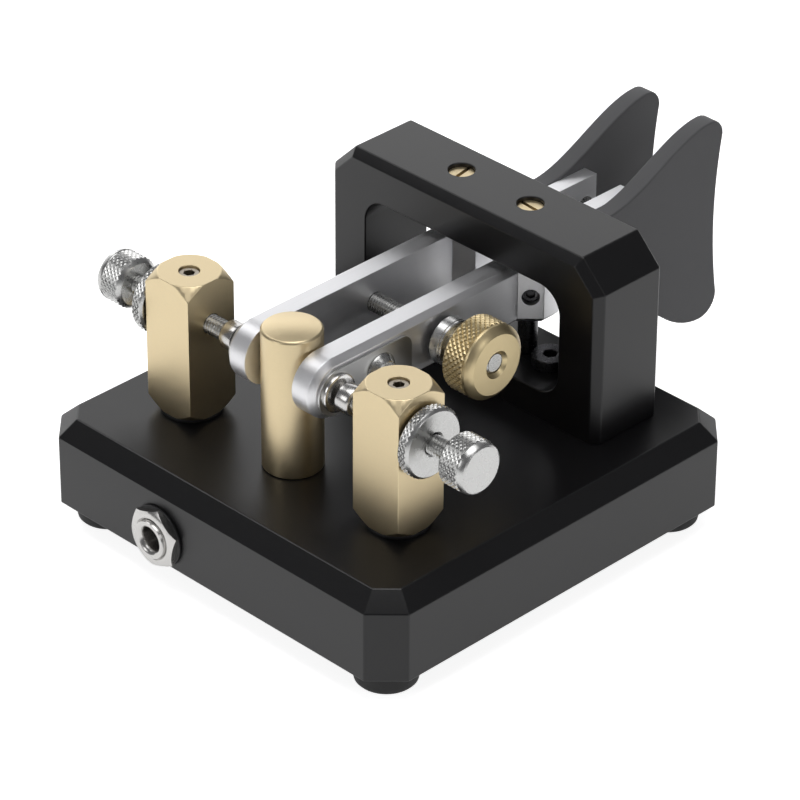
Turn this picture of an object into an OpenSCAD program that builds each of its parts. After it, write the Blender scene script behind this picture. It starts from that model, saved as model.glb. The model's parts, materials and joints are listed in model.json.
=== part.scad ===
// Paddle telegraph key with two levers, in millimetres.
// The paddles are at -Y and the contacts at +Y. Z is up from the plane under the feet.
// Left and right are the operator's: the left lever is at -X.

/* [Base] */
// Side of the square base block
base_side = 72; // [68:1:84]
// Height of the base block
base_h = 13.75; // [13:0.25:20]
// Leg of the chamfer on each upright corner
base_corner = 4.4; // [2:0.2:6]
// Width of the chamfer round the top, seen from above
base_rim_w = 2.7; // [1:0.1:4]
// Height of the chamfer round the top
base_rim_h = 2.55; // [1:0.05:4]
// Diameter of a rubber foot
foot_d = 9.4; // [8:0.2:12]
// Height of a foot under the base
foot_h = 4; // [2:0.5:8]
// Distance from a foot's centre to the base's sides
foot_inset = 7; // [6:0.5:10]
// Diameter of a foot's stem
foot_stem_d = 5; // [3:0.5:6]
// Length of a foot's stem inside the base
foot_stem_h = 3; // [2:0.5:5]
// Depth of the recesses cut into the base from below
recess_d = 6.5; // [6:0.25:7]
// Width of the wire channel
channel_w = 5; // [4:0.5:6]
// Distance from the contact row back to the wire channel
channel_back = 7.1; // [6.5:0.1:8]

/* [Yoke] */
// Width of the yoke
yoke_w = 54.7; // [52:0.5:60]
// Depth of the yoke from front to back
yoke_d = 13; // [10:0.5:16]
// Thickness of the rail under the window
rail_h = 4.75; // [4:0.25:6]
// Thickness of the yoke over the window
head_h = 6.85; // [5:0.25:9]
// Width of the window
window_w = 39.4; // [36:0.2:42]
// Radius of the window's corners
window_r = 4; // [2:0.5:6]
// Leg of the cut at each shoulder
shoulder = 4.45; // [2:0.25:7]
// Leg of the chamfer round the yoke's front edge
yoke_front_c = 1.25; // [0.5:0.25:2]
// Leg of the chamfer round the yoke's back edge
yoke_back_c = 0.4; // [0.2:0.1:1]
// Distance from the base's middle back to the yoke's middle
yoke_back = 21.1; // [19:0.5:23]
// Distance from the yoke's middle back to the lever pivots
pivot_back = 0.65; // [0:0.05:1]
// Distance between the two lever pivots
pivot_span = 13.9; // [13.5:0.1:15]
// Distance between the two screws that hold the yoke
yoke_screw_span = 24.4; // [24:0.2:28]
// Diameter of a yoke screw's head
yoke_screw_head_d = 5.5; // [5:0.1:5.8]
// Height of a yoke screw's head
yoke_screw_head_h = 1.8; // [1.4:0.1:2.4]
// Length of a yoke screw under its head
yoke_screw_l = 11; // [8:0.5:12]

/* [Pivots] */
// Diameter of a top pivot screw
pivot_d = 3.9; // [3.5:0.1:4.2]
// Diameter of a bottom pivot stud
stud_d = 3; // [2.8:0.1:3.6]
// Depth of a top pivot screw's end below the yoke's top
pivot_sink = 0.6; // [0.3:0.1:1.5]
// Width of the screwdriver slots
slot_w = 0.55; // [0.4:0.05:0.8]
// Depth of the screwdriver slots
slot_deep = 0.8; // [0.5:0.1:1.2]
// Turn of the left pivot screw's slot
left_slot_turn = 5; // [0:5:175]
// Turn of the right pivot screw's slot
right_slot_turn = 100; // [0:5:175]
// How far a cone point goes into a lever
point_in = 1.05; // [0.8:0.05:1.4]
// Radius of the flat end of a cone point
point_r = 0.3; // [0.2:0.05:0.5]

/* [Levers] */
// Height of a lever
lever_h = 9.5; // [9:0.25:11]
// Height of a lever's middle above the contact axis
lever_lift = 0.25; // [0:0.05:0.5]
// Height of the contact axis above the base
axis_h = 16; // [15:0.25:20]
// Gap between a lever and the top of the window
lever_gap = 1.4; // [1:0.1:3]
// Thickness of a lever's arm
arm_t = 4; // [3.6:0.1:4.2]
// Leg of the chamfer round an arm's outer face
arm_c = 0.9; // [0.4:0.1:1.2]
// Width of a lever's pivot block
block_w = 9.1; // [8.8:0.1:9.6]
// Half length of the pivot block's straight sides
block_flat = 1.55; // [1:0.05:2]
// Thickness of a lever's tail
tail_t = 2.5; // [2:0.1:3]
// Distance from the pivots back to a tail's end
tail_l = 24.25; // [23:0.25:27]
// Gap between a lever at rest and the centre post
stop_gap = 0.3; // [0.2:0.05:0.4]
// Diameter of the locking screw beside a pivot
grub_d = 2.5; // [2:0.1:3]
// Length of the locking screw beside a pivot
grub_l = 3; // [2:0.25:3.5]

/* [Lever contacts] */
// Thickness of the contact plate on an arm
plate_t = 0.45; // [0.3:0.05:0.8]
// Distance from the plate's edge in to the arm's edge
plate_inset = 1.1; // [1:0.1:1.6]
// Length of the plate from the contact axis towards the pivot
plate_l = 14.6; // [13:0.2:15.2]
// Radius of the plate's rear corners
plate_r = 2; // [1:0.25:3]
// Diameter of the silver disc
disc_d = 6; // [5:0.25:6.5]
// Thickness of the silver disc
disc_t = 0.6; // [0.4:0.1:1]
// Distance from the contact axis to the plate's screw
plate_screw_back = 8.4; // [7:0.2:9]
// Diameter of the plate screw's head
plate_screw_head_d = 5.6; // [4.5:0.1:6]
// Height of the plate screw's head
plate_screw_head_h = 1.3; // [0.8:0.1:1.6]
// Diameter of the plate screw's shank
plate_screw_d = 3; // [2:0.25:3]
// Length of the plate screw under its head
plate_screw_l = 3.5; // [2.5:0.25:4]

/* [Paddles] */
// Thickness of a paddle
paddle_t = 3; // [2:0.25:4]
// Distance from the tail's end forward to the paddle's end
paddle_lap = 9.5; // [9:0.25:10]
// Distance from the tail's end back to the paddle's outer edge
paddle_reach = 16.5; // [14:0.5:22]
// Distance from the paddle's front end back to where its top edge starts to rise
upper_start = 1; // [0.5:0.1:2]
// Distance from the paddle's front end back to where its bottom edge starts to fall
lower_start = 2.9; // [1:0.1:4]
// Rise of the paddle above the lever's top
paddle_up = 7.4; // [4:0.2:12]
// Drop of the paddle below the lever's bottom
paddle_down = 16.4; // [8:0.2:18]
// Height of the paddle's front end below the lever's bottom
paddle_lip = 0.5; // [0:0.1:1]
// How far the outer edge is hollowed
paddle_hollow = 1.2; // [0.4:0.1:2]
// Radius of the paddle's top corner
paddle_top_r = 2.8; // [1.5:0.1:3.5]
// Radius of the paddle's bottom corner
paddle_bottom_r = 3.5; // [2:0.1:4]
// Diameter of a paddle screw
paddle_screw_d = 2; // [1.6:0.1:2.4]
// Diameter of a paddle screw's countersunk head
paddle_screw_head_d = 3.8; // [3.2:0.1:4.2]
// Distance between a paddle's two screws
paddle_screw_span = 4.6; // [4.4:0.1:5]
// Depth of a paddle screw in its paddle
paddle_screw_in = 2.2; // [1.5:0.1:2.6]

/* [Posts] */
// Side of a square contact post
post_side = 9; // [8:0.25:9.5]
// Height of a contact post, with the plate under it
post_h = 22.95; // [21.5:0.25:26]
// Radius at which the turned ends of a contact post start
post_end_r = 4.6; // [4.3:0.1:5.2]
// Distance between the two contact posts
post_span = 42.5; // [41:0.5:46]
// Distance from the base's middle forward to the posts
post_fwd = 19.1; // [17:0.5:20]
// Thickness of the insulating plate under a contact post
insulator_t = 0.5; // [0.3:0.1:1]
// Diameter of the centre post
centre_d = 9; // [8.4:0.2:9.4]
// Height of the centre post
centre_h = 22.75; // [21.5:0.25:26]
// Leg of the chamfer on the centre post
centre_c = 0.4; // [0.2:0.1:0.8]
// Diameter of a post screw
post_screw_d = 4; // [3:0.5:4.5]
// Length of a post screw inside its post
post_screw_in = 7; // [5:0.5:8]
// Diameter of a post screw's head
post_screw_head_d = 7; // [6:0.25:7]
// Height of a post screw's head
post_screw_head_h = 2.6; // [2:0.1:3]
// Diameter of the counterbore round a post screw
counterbore_d = 9.4; // [9.2:0.1:9.8]
// Thickness of a solder lug
lug_t = 0.5; // [0.3:0.1:0.8]
// Thickness of a bush's flange
bush_flange_t = 1; // [0.6:0.1:1.2]
// Diameter of a bush in its hole
bush_d = 6; // [5.8:0.1:6.6]

/* [Contact screws] */
// Diameter of the threaded rods
rod_d = 3; // [2.6:0.1:3]
// Gap between the contacts at rest
contact_gap = 0.7; // [0.65:0.05:1.2]
// Diameter of a contact tip
tip_d = 3.2; // [2.8:0.1:3.6]
// How far a contact tip stands out of its collar
tip_out = 0.2; // [0.15:0.05:0.4]
// Diameter of the collar on a contact screw's inner end
collar_d = 4.4; // [4.2:0.1:5.4]
// Length of the collar
collar_l = 2.4; // [2:0.1:3]
// Diameter of a lock nut
lock_d = 10.9; // [9:0.1:12]
// Thickness of a lock nut
lock_t = 2.15; // [1.5:0.05:3]
// Gap between a lock nut and its post
lock_gap = 0.3; // [0.2:0.05:0.5]
// Length of thread that shows between a lock nut and a screw's head
thread_show = 4.1; // [3.6:0.1:6]
// Diameter of a contact screw's head
knurl_d = 8.1; // [7:0.1:10]
// Length of a contact screw's head
knurl_l = 5; // [4:0.25:7]
// Leg of the chamfer on a contact screw's head, on the side of the post
knurl_c = 0.55; // [0.2:0.05:0.8]
// Length of the smooth rim on a contact screw's head
knurl_rim = 1.1; // [0.6:0.1:1.5]

/* [Tension] */
// Distance from the base's middle back to the tension rod
tension_back = 2; // [0:0.5:4]
// Diameter of the tension knob
knob_d = 11.8; // [10:0.2:14]
// Length of the tension knob
knob_l = 5.6; // [4.5:0.2:8]
// Length of the smooth rim on the tension knob
knob_rim = 1.3; // [0.8:0.1:2]
// Radius of the flat face at the knob's end
knob_face_r = 4.7; // [4:0.1:5]
// Diameter of the spring cup
cup_d = 7.4; // [7.2:0.1:8]
// Wall of the spring cup
cup_wall = 0.6; // [0.4:0.05:0.7]
// Thickness of the cup's closed end
cup_end = 0.5; // [0.4:0.05:0.7]
// Length of the spring cup's wide part
cup_l = 2.4; // [2.2:0.1:3]
// Diameter of the cup's neck
neck_d = 5; // [4.4:0.1:5.6]
// Length of the cup's neck
neck_l = 2; // [1.5:0.1:3]
// Gap between the left lever and the spring cup
cup_gap = 0.8; // [0.8:0.05:1.2]
// Diameter of the spring's wire
spring_wire = 0.4; // [0.3:0.05:0.45]
// Number of turns in the spring
spring_turns = 2.5; // [1.5:0.5:2.5]
// Diameter of the rod's hole in the left lever
rod_pass_d = 4.4; // [4.2:0.1:4.8]

/* [Jack] */
// Distance from the base's middle to the jack
jack_side = 10.2; // [9.8:0.1:11]
// Height of the jack's centre above the base's underside
jack_up = 4.5; // [4.4:0.05:5]
// Diameter of the plug's hole
jack_hole_d = 3.6; // [3.5:0.05:3.8]
// Diameter of the threaded sleeve
sleeve_d = 6; // [5.5:0.1:6.4]
// Length of the threaded sleeve
sleeve_l = 15; // [14:0.5:15.5]
// How far the sleeve stands out of its nut
sleeve_out = 0.5; // [0.3:0.1:2]
// Size of the jack nut across its flats
jack_nut_af = 8.5; // [8:0.1:9]
// Thickness of the jack nut
jack_nut_t = 1.2; // [1:0.1:2.5]
// Diameter of the washer under the jack nut
washer_d = 9.6; // [9.2:0.1:10]
// Thickness of the washer under the jack nut
washer_t = 0.4; // [0.3:0.1:1]
// Thickness of the base's wall at the jack
jack_wall = 2.4; // [2:0.1:3]
// Width of the jack's body
jack_w = 9.4; // [8:0.1:9.6]
// Length of the jack's body
jack_l = 12.6; // [12:0.1:13]
// Height of the jack's body
jack_h = 8.4; // [7.6:0.1:8.6]
// Diameter of a wire
wire_d = 1.2; // [0.8:0.1:1.3]

/* [Hidden] */
$fn = 64;

// Clearances
fit = 0.05;
run_fit = 0.08;
turn_gap = 0.08;
seat_fit = 0.06;
lift_gap = 0.3;
pocket_gap = 0.15;
over = 1;

// Places, from the driving sizes
deck = foot_h + base_h;
axis_z = deck + axis_h;
lever_z = axis_z + lever_lift;
lever_top = lever_z + lever_h / 2;
lever_bottom = lever_z - lever_h / 2;
window_top = lever_top + lever_gap;
rail_top = deck + rail_h;
yoke_top = window_top + head_h;
pivot_x = pivot_span / 2;
yoke_y = -yoke_back;
pivot_y = yoke_y - pivot_back;
post_x = post_span / 2;
post_y = post_fwd;
tension_y = -tension_back;

// Lever outline, for the right side
arm_in = centre_d / 2 + stop_gap;
arm_out = arm_in + arm_t;
block_in = pivot_x - block_w / 2;
block_out = pivot_x + block_w / 2;
tail_out = block_in + tail_t;
block_front = pivot_y + block_flat;
block_rear = pivot_y - block_flat;
arm_start = block_front + (block_out - arm_out);
tail_end = pivot_y - tail_l;
cone_tan = tan(30);
seat_r = point_r + point_in * cone_tan + seat_fit;
plate_out = arm_out + plate_t;
disc_out = plate_out + disc_t;
screw_sink = (paddle_screw_head_d - paddle_screw_d) / 2;
grub_mid = [(arm_out + block_out) / 2, (arm_start + block_front) / 2];

// Contact screws, for the right side
tip_face = disc_out + contact_gap;
collar_face = tip_face + tip_out;
tip_stem_d = 1.8;
tip_stem_l = 1.5;
lock_face = post_x + post_side / 2 + lock_gap;
screw_head = lock_face + lock_t + thread_show;
screw_end = screw_head + knurl_l;
set_bottom = axis_z + rod_d / 2 + lift_gap;
set_recess = 0.3;
post_top = deck + post_h;

// Tension parts, measured out from the left lever
cup_start = arm_out + cup_gap;
cup_shoulder = cup_start + cup_l;
cup_stop = cup_shoulder + neck_l;
knob_start = cup_stop + turn_gap;
knob_end = knob_start + knob_l;
rod_anchor = arm_out - 0.2;
spring_in = rod_d / 2 + lift_gap + spring_wire / 2;
spring_out = cup_d / 2 - cup_wall - lift_gap - spring_wire / 2;
spring_r = (spring_in + spring_out) / 2;
spring_start = arm_out + fit + spring_wire / 2;
spring_stop = cup_shoulder - cup_end - fit - spring_wire / 2;

// Underside
recess_z = foot_h + recess_d;
channel_y = post_y - channel_back;
bush_head = recess_z - bush_flange_t;
lug_w = 2.4;
lug_reach = channel_back - 0.4;
wire_z = recess_z - bush_flange_t - lug_t - wire_d / 2 - fit;
wire_pitch = 2.6;
jack_z = foot_h + jack_up;
jack_front = base_side / 2 - jack_wall;
jack_rear = jack_front - jack_l;
washer_face = base_side / 2 + washer_t;
sleeve_front = washer_face + jack_nut_t + sleeve_out;
terminal_w = 1.6;
terminal_t = 0.4;
terminal_l = 2.6;
terminal_in = 1;
terminal_end = jack_rear - terminal_l;

// Cylinder along X from x0 to x1
module rod_x(x0, x1, d) {
  translate([x0, 0, 0]) rotate([0, 90, 0]) cylinder(d = d, h = x1 - x0);
}

// Cone along X from radius r0 at x0 to radius r1 at x1
module cone_x(x0, x1, r0, r1) {
  translate([x0, 0, 0]) rotate([0, 90, 0]) cylinder(r1 = r0, r2 = r1, h = x1 - x0);
}

// Moves a thing from the origin to the contact axis
module at_contact() {
  translate([0, post_y, axis_z]) children();
}

// Moves a thing from the origin to the tension rod's axis
module at_tension() {
  translate([0, tension_y, axis_z]) children();
}

module left_side() {
  mirror([1, 0, 0]) children();
}

// Chamfer cutter: a long square bar set on edge along X, with its corner at the origin's axis
module edge_bar(length, leg) {
  rotate([45, 0, 0]) cube([length, leg * sqrt(2), leg * sqrt(2)], center = true);
}

// Slotted recess for a screwdriver, cut down from z = 0
module driver_slot(d) {
  translate([-d, -slot_w / 2, -slot_deep]) cube([2 * d, slot_w, slot_deep + over]);
}

// Hexagon recess, cut down from z = 0
module hex_recess(af, deep) {
  translate([0, 0, -deep]) cylinder(d = af * 2 / sqrt(3), h = deep + over, $fn = 6);
}

module base_outline() {
  half = base_side / 2;
  flat = half - base_corner;
  polygon([
    [half, -flat], [half, flat], [flat, half], [-flat, half],
    [-half, flat], [-half, -flat], [-flat, -half], [flat, -half]
  ]);
}

// The side view that gives the block its top chamfer in one direction
module rim_profile(half) {
  polygon([
    [-half, 0], [half, 0], [half, base_h - base_rim_h], [half - base_rim_w, base_h],
    [-half + base_rim_w, base_h], [-half, base_h - base_rim_h]
  ]);
}

module rim_bar(half) {
  rotate([90, 0, 0]) linear_extrude(base_side * 2, center = true) rim_profile(half);
}

module base_solid() {
  half = base_side / 2;
  corner_half = (base_side - base_corner) / sqrt(2);
  intersection() {
    linear_extrude(base_h) base_outline();
    rim_bar(half);
    rotate([0, 0, 90]) rim_bar(half);
    rotate([0, 0, 45]) rim_bar(corner_half);
    rotate([0, 0, -45]) rim_bar(corner_half);
  }
}

module at_feet() {
  reach = base_side / 2 - foot_inset;
  for (x = [-reach, reach], y = [-reach, reach]) translate([x, y, 0]) children();
}

module at_yoke_screws() {
  for (s = [-1, 1]) translate([s * yoke_screw_span / 2, yoke_y, 0]) children();
}

// Counterbore and wire link under one post
module post_recess() {
  translate([0, 0, foot_h - over]) cylinder(d = counterbore_d, h = recess_d + over);
  translate([-channel_w / 2, -channel_back, foot_h - over]) cube([channel_w, channel_back, recess_d + over]);
}

module base_block() {
  pocket_w = jack_w + 2 * pocket_gap;
  link_w = 2 * wire_pitch + terminal_w + 2 * pocket_gap;
  color([0.28, 0.28, 0.29]) difference() {
    translate([0, 0, foot_h]) base_solid();
    at_feet() translate([0, 0, foot_h - over]) cylinder(d = foot_stem_d + 2 * fit, h = foot_stem_h + fit + over);
    at_yoke_screws() translate([0, 0, rail_top - yoke_screw_l - fit]) cylinder(d = rod_d + 2 * fit, h = yoke_screw_l);
    for (s = [-1, 1]) translate([s * post_x, post_y, 0]) {
      post_recess();
      translate([0, 0, foot_h]) cylinder(d = bush_d + 2 * fit, h = base_h + over);
    }
    translate([0, post_y, 0]) {
      post_recess();
      translate([0, 0, foot_h]) cylinder(d = post_screw_d + 2 * fit, h = base_h + over);
    }
    translate([-post_x - channel_w / 2, channel_y - channel_w / 2, foot_h - over])
      cube([2 * post_x + channel_w, channel_w, recess_d + over]);
    translate([jack_side - pocket_w / 2, jack_rear - pocket_gap, foot_h - over])
      cube([pocket_w, jack_l + pocket_gap, jack_up + jack_h / 2 + pocket_gap + over]);
    translate([jack_side - link_w / 2, channel_y, foot_h - over])
      cube([link_w, jack_rear - channel_y, recess_d + over]);
    translate([jack_side, jack_front - over, jack_z]) rotate([-90, 0, 0])
      cylinder(d = sleeve_d + 2 * fit, h = jack_wall + 2 * over);
  }
}

module rubber_feet() {
  color([0.07, 0.07, 0.07]) at_feet() {
    cylinder(d = foot_d, h = foot_h);
    cylinder(d = foot_stem_d, h = foot_h + foot_stem_h);
  }
}

module yoke_outline() {
  half = yoke_w / 2;
  polygon([
    [-half, deck], [half, deck], [half, yoke_top - shoulder], [half - shoulder, yoke_top],
    [-half + shoulder, yoke_top], [-half, yoke_top - shoulder]
  ]);
}

module window_outline() {
  half = window_w / 2 - window_r;
  low = rail_top + window_r;
  high = window_top - window_r;
  translate([-window_w / 2, low]) square([window_w, high - low]);
  translate([-half, rail_top]) square([2 * half, window_top - rail_top]);
  for (x = [-half, half], z = [low, high]) translate([x, z]) circle(r = window_r);
}

// Chamfer cutters along the yoke's outline on the face at y
module yoke_edges(y, leg) {
  half = yoke_w / 2;
  long = 2 * yoke_w;
  translate([0, y, yoke_top]) edge_bar(long, leg);
  for (s = [-1, 1]) {
    translate([s * half, y, axis_z]) rotate([0, 90, 0]) edge_bar(long, leg);
    translate([s * (half - shoulder / 2), y, yoke_top - shoulder / 2]) rotate([0, s * 45, 0]) edge_bar(long, leg);
  }
}

module yoke() {
  color([0.26, 0.26, 0.27]) difference() {
    translate([0, yoke_y + yoke_d / 2, 0]) rotate([90, 0, 0]) linear_extrude(yoke_d) yoke_outline();
    translate([0, yoke_y + yoke_d, 0]) rotate([90, 0, 0]) linear_extrude(2 * yoke_d) window_outline();
    yoke_edges(yoke_y + yoke_d / 2, yoke_front_c);
    yoke_edges(yoke_y - yoke_d / 2, yoke_back_c);
    for (s = [-1, 1]) translate([s * pivot_x, pivot_y, 0]) {
      translate([0, 0, deck - over]) cylinder(d = stud_d + 2 * fit, h = rail_h + 2 * over);
      translate([0, 0, window_top - over]) cylinder(d = pivot_d + 2 * fit, h = head_h + 2 * over);
    }
    at_yoke_screws() translate([0, 0, deck - over]) cylinder(d = rod_d + 2 * fit, h = rail_h + 2 * over);
  }
}

module yoke_screws() {
  color([0.20, 0.20, 0.21]) at_yoke_screws() difference() {
    union() {
      translate([0, 0, rail_top - yoke_screw_l]) cylinder(d = rod_d, h = yoke_screw_l);
      translate([0, 0, rail_top]) cylinder(d = yoke_screw_head_d, h = yoke_screw_head_h);
    }
    translate([0, 0, rail_top + yoke_screw_head_h]) hex_recess(af = rod_d / 1.5, deep = yoke_screw_head_h / 1.5);
  }
}

// Round body with its cone point at z = 0
module pivot_body(d, length) {
  point_l = (d / 2 - point_r) / cone_tan;
  rotate_extrude() polygon([[0, 0], [point_r, 0], [d / 2, point_l], [d / 2, length], [0, length]]);
}

// Slotted screw with a cone point that goes down into the lever
module top_pivot(turn) {
  length = yoke_top - pivot_sink - (lever_top - point_in);
  color([0.80, 0.68, 0.42]) translate([pivot_x, pivot_y, lever_top - point_in]) difference() {
    pivot_body(pivot_d, length);
    translate([0, 0, length]) rotate([0, 0, turn]) driver_slot(pivot_d);
  }
}

// Stud with a cone point that goes up into the lever
module bottom_pivot() {
  color([0.20, 0.20, 0.21]) translate([pivot_x, pivot_y, lever_bottom + point_in])
    mirror([0, 0, 1]) pivot_body(stud_d, lever_bottom + point_in - deck);
}

module left_top_pivot() { left_side() top_pivot(left_slot_turn); }
module right_top_pivot() { top_pivot(right_slot_turn); }
module left_bottom_pivot() { left_side() bottom_pivot(); }
module right_bottom_pivot() { bottom_pivot(); }

// Straight part of the arm, chamfered along its outer face and run on into the pivot block
module arm_bar() {
  translate([0, post_y, lever_z]) rotate([90, 0, 0]) linear_extrude(post_y - block_front) polygon([
    [arm_in, -lever_h / 2], [arm_out - arm_c, -lever_h / 2], [arm_out, -lever_h / 2 + arm_c],
    [arm_out, lever_h / 2 - arm_c], [arm_out - arm_c, lever_h / 2], [arm_in, lever_h / 2]
  ]);
}

// Round end of the arm
module arm_end() {
  translate([0, post_y, lever_z]) {
    rod_x(arm_in, arm_out - arm_c, lever_h);
    cone_x(arm_out - arm_c, arm_out, lever_h / 2, lever_h / 2 - arm_c);
  }
}

// Pivot block, chamfered along its three outer faces
module lever_block() {
  reach = block_out - block_in;
  difference() {
    translate([0, 0, lever_bottom]) linear_extrude(lever_h) polygon([
      [arm_in, arm_start + arm_t], [block_out, block_front], [block_out, block_rear], [block_in, block_rear - reach],
      [block_in, block_front], [arm_in, block_front + (arm_in - block_in)]
    ]);
    for (z = [lever_bottom, lever_top]) {
      translate([block_out, pivot_y, z]) rotate([0, 0, 90]) edge_bar(2 * reach, arm_c);
      translate([block_out, block_front, z]) rotate([0, 0, -45]) edge_bar(4 * reach, arm_c);
      translate([block_out, block_rear, z]) rotate([0, 0, 45]) edge_bar(4 * reach, arm_c);
    }
  }
}

module lever_tail() {
  translate([block_in, tail_end, lever_bottom]) cube([tail_t, block_rear - tail_end, lever_h]);
}

// Cone seats for the two pivot points, each with a small relief hole
module pivot_seats() {
  relief_r = point_r + fit;
  depth = (seat_r - relief_r) / cone_tan;
  for (up = [0, 1]) translate([pivot_x, pivot_y, lever_z]) mirror([0, 0, up]) {
    translate([0, 0, -lever_h / 2 - fit]) cylinder(r1 = seat_r + fit * cone_tan, r2 = relief_r, h = depth + fit);
    translate([0, 0, -lever_h / 2]) cylinder(r = relief_r, h = point_in + lift_gap);
  }
}

module at_grub() {
  translate([grub_mid[0], grub_mid[1], axis_z]) rotate([0, 0, 45]) children();
}

module at_paddle_screws() {
  for (s = [-0.5, 0.5]) translate([0, tail_end + paddle_lap / 2 + s * paddle_screw_span, axis_z]) children();
}

module lever(rod_hole) {
  color([0.86, 0.87, 0.88]) difference() {
    union() {
      arm_bar();
      arm_end();
      lever_block();
      lever_tail();
    }
    pivot_seats();
    at_grub() rod_x(-grub_l - fit, over, grub_d + 2 * fit);
    at_tension() rod_x(arm_in - over, arm_out + over, rod_hole);
    translate([0, post_y - plate_screw_back, axis_z])
      rod_x(plate_out - plate_screw_l - fit, arm_out + over, plate_screw_d + 2 * fit);
    at_paddle_screws() {
      rod_x(block_in - over, tail_out + over, paddle_screw_d + 2 * fit);
      cone_x(block_in, block_in + screw_sink, paddle_screw_head_d / 2 + fit, paddle_screw_d / 2 + fit);
    }
  }
}

module left_lever() { left_side() lever(rod_pass_d); }
module right_lever() { lever(rod_d + 2 * fit); }

module lever_grub() {
  color([0.70, 0.70, 0.70]) at_grub() difference() {
    rod_x(-grub_l, -fit, grub_d);
    rotate([0, 90, 0]) hex_recess(af = grub_d / 2, deep = grub_l / 2);
  }
}

module left_lever_grub() { left_side() lever_grub(); }
module right_lever_grub() { lever_grub(); }

// Thin plate on the arm's outer face, round at the contact and with small rear corners
module contact_plate() {
  half = lever_h / 2 - plate_inset;
  color([0.78, 0.78, 0.77]) difference() {
    at_contact() {
      rod_x(arm_out, plate_out, 2 * half);
      translate([arm_out, -plate_l + plate_r, -half]) cube([plate_t, plate_l - plate_r, 2 * half]);
      translate([arm_out, -plate_l, -half + plate_r]) cube([plate_t, plate_r, 2 * (half - plate_r)]);
      for (z = [-half + plate_r, half - plate_r])
        translate([0, -plate_l + plate_r, z]) rod_x(arm_out, plate_out, 2 * plate_r);
    }
    translate([0, post_y - plate_screw_back, axis_z])
      rod_x(arm_out - over, plate_out + over, plate_screw_d + 2 * fit);
  }
}

module contact_disc() {
  color([0.90, 0.90, 0.89]) at_contact() rod_x(plate_out, disc_out, disc_d);
}

module plate_screw() {
  color([0.72, 0.72, 0.72]) translate([0, post_y - plate_screw_back, axis_z]) difference() {
    union() {
      rod_x(plate_out - plate_screw_l, plate_out, plate_screw_d);
      cone_x(plate_out, plate_out + plate_screw_head_h, plate_screw_head_d / 2, plate_screw_head_d / 3);
    }
    translate([plate_out + plate_screw_head_h, 0, 0]) rotate([0, 90, 0])
      hex_recess(af = plate_screw_d / 1.5, deep = plate_screw_head_h);
  }
}

module left_contact_plate() { left_side() contact_plate(); }
module right_contact_plate() { contact_plate(); }
module left_contact_disc() { left_side() contact_disc(); }
module right_contact_disc() { contact_disc(); }
module left_plate_screw() { left_side() plate_screw(); }
module right_plate_screw() { plate_screw(); }

// Smooth step from 0 to 1
function ease(t) = t * t * (3 - 2 * t);

// Side outline of a paddle: y is forward and z is up
module paddle_outline() {
  edge = tail_end - paddle_reach;
  front = tail_end + paddle_lap;
  rise_start = front - upper_start;
  fall_start = front - lower_start;
  top = lever_top + paddle_up;
  lip = lever_bottom - paddle_lip;
  low = lip - paddle_down;
  top_y = edge + paddle_top_r;
  low_y = edge + paddle_bottom_r;
  steps = 16;
  upper = [for (i = [0 : steps]) let (t = i / steps)
    [rise_start + (top_y - rise_start) * t, lever_top + paddle_up * ease(t)]];
  top_corner = [for (a = [105 : 15 : 180]) [top_y + paddle_top_r * cos(a), top - paddle_top_r + paddle_top_r * sin(a)]];
  hollow_top = top - paddle_top_r;
  hollow_low = low + paddle_bottom_r;
  hollow = [for (i = [1 : steps - 1]) let (t = i / steps)
    [edge + paddle_hollow * 4 * t * (1 - t), hollow_top + (hollow_low - hollow_top) * t]];
  low_corner = [for (a = [180 : 15 : 270]) [low_y + paddle_bottom_r * cos(a), hollow_low + paddle_bottom_r * sin(a)]];
  lower = [for (i = [steps - 1 : -1 : 0]) let (t = i / steps)
    [fall_start + (low_y - fall_start) * t, lip - paddle_down * ease(pow(t, 0.65))]];
  polygon(concat([[front, lip], [front, lever_top]], upper, top_corner, hollow, low_corner, lower));
}

module paddle() {
  color([0.30, 0.30, 0.31]) difference() {
    translate([tail_out, 0, 0]) rotate([90, 0, 90]) linear_extrude(paddle_t) paddle_outline();
    at_paddle_screws() rod_x(tail_out - over, tail_out + paddle_screw_in + fit, paddle_screw_d + 2 * fit);
  }
}

module paddle_screws() {
  color([0.55, 0.55, 0.55]) at_paddle_screws() difference() {
    union() {
      rod_x(block_in + screw_sink / 2, tail_out + paddle_screw_in, paddle_screw_d);
      cone_x(block_in, block_in + screw_sink, paddle_screw_head_d / 2, paddle_screw_d / 2);
    }
    translate([block_in, 0, 0]) rotate([0, -90, 0]) hex_recess(af = paddle_screw_d / 1.7, deep = screw_sink);
  }
}

module left_paddle() { left_side() paddle(); }
module right_paddle() { paddle(); }
module left_paddle_screws() { left_side() paddle_screws(); }
module right_paddle_screws() { paddle_screws(); }

// Square bar whose two ends are turned to a cone
module post() {
  low = deck + insulator_t;
  high = post_top - low;
  turned_r = post_side / sqrt(2) + over;
  cone_h = turned_r - post_end_r;
  color([0.86, 0.78, 0.62]) translate([post_x, post_y, 0]) difference() {
    intersection() {
      translate([-post_side / 2, -post_side / 2, low]) cube([post_side, post_side, high]);
      translate([0, 0, low]) {
        cylinder(r1 = post_end_r, r2 = turned_r, h = cone_h);
        translate([0, 0, cone_h]) cylinder(r = turned_r, h = high - 2 * cone_h);
        translate([0, 0, high - cone_h]) cylinder(r1 = turned_r, r2 = post_end_r, h = cone_h);
      }
    }
    translate([0, 0, axis_z]) rod_x(-post_side, post_side, rod_d + 2 * run_fit);
    translate([0, 0, axis_z]) cylinder(d = rod_d + 2 * fit, h = post_h);
    translate([0, 0, deck]) cylinder(d = post_screw_d + 2 * fit, h = insulator_t + post_screw_in + fit);
  }
}

module left_post() { left_side() post(); }
module right_post() { post(); }

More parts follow.
